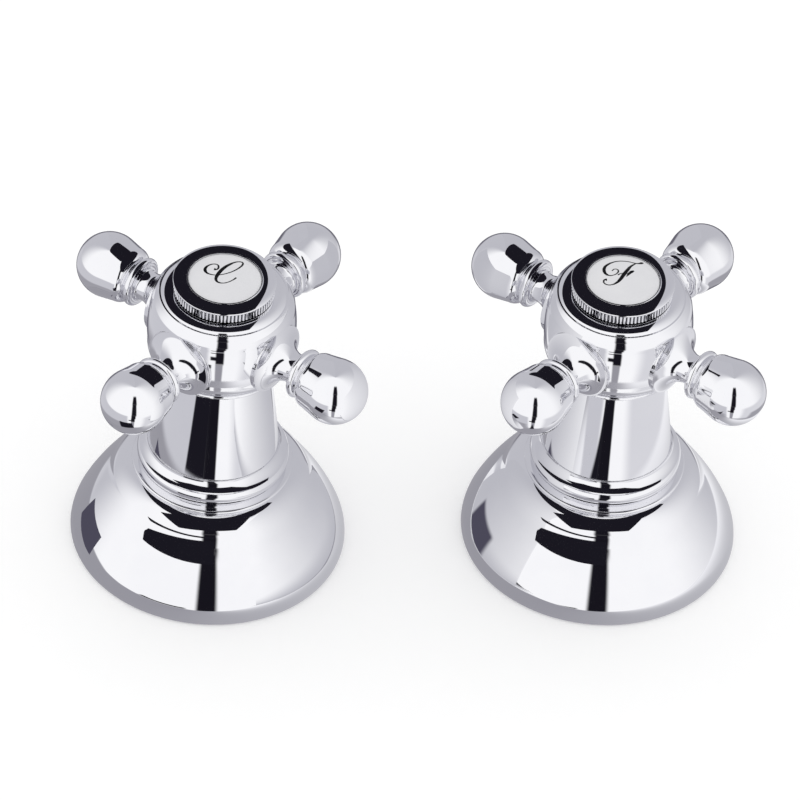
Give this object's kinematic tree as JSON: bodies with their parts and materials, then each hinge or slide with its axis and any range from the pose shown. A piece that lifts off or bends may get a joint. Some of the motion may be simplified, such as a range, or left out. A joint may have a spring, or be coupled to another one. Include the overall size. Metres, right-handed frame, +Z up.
{
  "type": "bidet tap",
  "caption": "Pair of deck-mounted bidet valves, hot and cold, each with a bell flange, cone sleeve and four-arm cross handle that turns a quarter turn.",
  "frame": {"origin": "on the deck plane, midway between the two valve axes", "axes": "+Z up along both valve axes, +X from the hot valve to the cold one, -Y towards the user"},
  "size_m": [0.1432, 0.0594, 0.0735],
  "materials": {
    "chrome": "mirror-polished chrome plate on brass",
    "raw_brass": "machined brass",
    "black_rubber": "moulded rubber",
    "ceramic": "lapped alumina ceramic",
    "washer_plastic": "white slippery plastic",
    "spring_steel": "stainless steel",
    "index_white": "pearly white enamel"
  },
  "bodies": {
    "root": {"hot_bell_flange": "chrome", "hot_base_gasket": "black_rubber", "hot_valve_body": "raw_brass", "hot_collar_ring": "chrome", "hot_cone_sleeve": "chrome", "hot_cartridge_housing": "raw_brass", "hot_housing_oring": "black_rubber", "hot_seat_seal": "black_rubber", "hot_fixed_disc": "ceramic", "hot_thrust_washer": "washer_plastic", "cold_bell_flange": "chrome", "cold_base_gasket": "black_rubber", "cold_valve_body": "raw_brass", "cold_collar_ring": "chrome", "cold_cone_sleeve": "chrome", "cold_cartridge_housing": "raw_brass", "cold_housing_oring": "black_rubber", "cold_seat_seal": "black_rubber", "cold_fixed_disc": "ceramic", "cold_thrust_washer": "washer_plastic"},
    "hot_handle": {"hot_rotor_disc": "ceramic", "hot_spindle": "raw_brass", "hot_spindle_orings": "black_rubber", "hot_snap_ring": "spring_steel", "hot_hub": "chrome", "hot_handle_screw": "spring_steel", "hot_screw_washer": "spring_steel", "hot_index_cap": "chrome", "hot_cap_oring": "black_rubber", "hot_index_disc": "index_white", "hot_right_back_arm": "chrome", "hot_left_back_arm": "chrome", "hot_left_front_arm": "chrome", "hot_right_front_arm": "chrome"},
    "cold_handle": {"cold_rotor_disc": "ceramic", "cold_spindle": "raw_brass", "cold_spindle_orings": "black_rubber", "cold_snap_ring": "spring_steel", "cold_hub": "chrome", "cold_handle_screw": "spring_steel", "cold_screw_washer": "spring_steel", "cold_index_cap": "chrome", "cold_cap_oring": "black_rubber", "cold_index_disc": "index_white", "cold_right_back_arm": "chrome", "cold_left_back_arm": "chrome", "cold_left_front_arm": "chrome", "cold_right_front_arm": "chrome"}
  },
  "joints": [
    {"name": "hot_turn", "type": "hinge", "parent": "root", "child": "hot_handle", "pos_m": [-0.04185, 0, 0.05], "axis": [0, 0, 1], "range_deg": [0, 90]},
    {"name": "cold_turn", "type": "hinge", "parent": "root", "child": "cold_handle", "pos_m": [0.04185, 0, 0.05], "axis": [0, 0, 1], "range_deg": [0, 90]}
  ]
}
